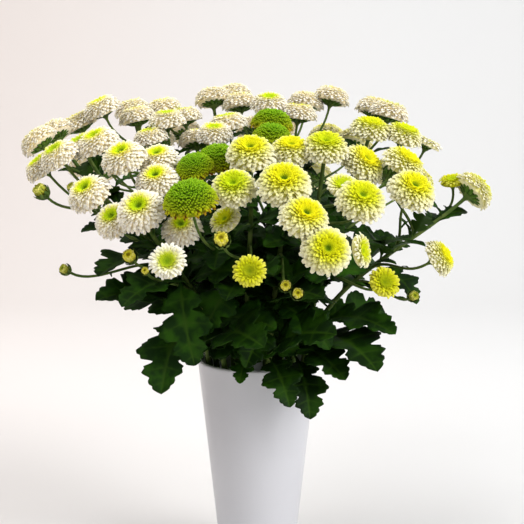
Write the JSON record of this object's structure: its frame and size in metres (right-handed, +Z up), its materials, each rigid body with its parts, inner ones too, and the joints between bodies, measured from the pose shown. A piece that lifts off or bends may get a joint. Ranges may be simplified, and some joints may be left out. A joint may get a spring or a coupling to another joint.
{
  "type": "chrysanthemums in a vase",
  "caption": "Spray chrysanthemums with white, cream-yellow and green button blooms, standing in water in a tapered white glazed vase.",
  "frame": {"origin": "middle of the vase's foot, on the surface that it stands on", "axes": "+Z up along the vase's axis; the bouquet's fuller, lower front faces -Y; +X to the right seen from the front"},
  "size_m": [0.4116, 0.3689, 0.438],
  "materials": {
    "vase": "gloss",
    "water": "gloss",
    "greenery": "satin",
    "petals_white": "matte",
    "petals_yellow": "matte",
    "petals_lime": "matte"
  },
  "bodies": {
    "root": {"blooms_lime_01": "petals_lime", "blooms_lime_02": "petals_lime", "blooms_lime_03": "petals_lime", "blooms_white_01": "petals_white", "blooms_white_02": "petals_white", "blooms_white_03": "petals_white", "blooms_white_04": "petals_white", "blooms_white_05": "petals_white", "blooms_white_06": "petals_white", "blooms_white_07": "petals_white", "blooms_white_08": "petals_white", "blooms_white_09": "petals_white", "blooms_white_10": "petals_white", "blooms_white_11": "petals_white", "blooms_white_12": "petals_white", "blooms_white_13": "petals_white", "blooms_white_14": "petals_white", "blooms_white_15": "petals_white", "blooms_white_16": "petals_white", "blooms_white_17": "petals_white", "blooms_white_19": "petals_white", "blooms_white_20": "petals_white", "blooms_white_21": "petals_white", "blooms_white_22": "petals_white", "blooms_white_23": "petals_white", "blooms_white_24": "petals_white", "blooms_yellow_01": "petals_yellow", "blooms_yellow_02": "petals_yellow", "blooms_yellow_03": "petals_yellow", "blooms_yellow_04": "petals_yellow", "blooms_yellow_05": "petals_yellow", "blooms_yellow_06": "petals_yellow", "blooms_yellow_07": "petals_yellow", "blooms_yellow_08": "petals_yellow", "blooms_yellow_09": "petals_yellow", "blooms_yellow_10": "petals_yellow", "blooms_yellow_11": "petals_yellow", "blooms_yellow_12": "petals_yellow", "blooms_yellow_13": "petals_yellow", "blooms_yellow_14": "petals_yellow", "blooms_yellow_15": "petals_yellow", "blooms_yellow_16": "petals_yellow", "blooms_yellow_17": "petals_yellow", "stem_back_left": "greenery", "stem_back_right": "greenery", "stem_far_left": "greenery", "stem_front": "greenery", "stem_front_left": "greenery", "stem_front_right": "greenery", "stem_green": "greenery", "stem_left": "greenery", "stem_left_inner": "greenery", "stem_rear_left": "greenery", "stem_rear_right": "greenery", "stem_right": "greenery", "stem_right_inner": "greenery", "stem_top": "greenery", "stem_top_left": "greenery", "vase": "vase", "water": "water"}
  },
  "joints": []
}
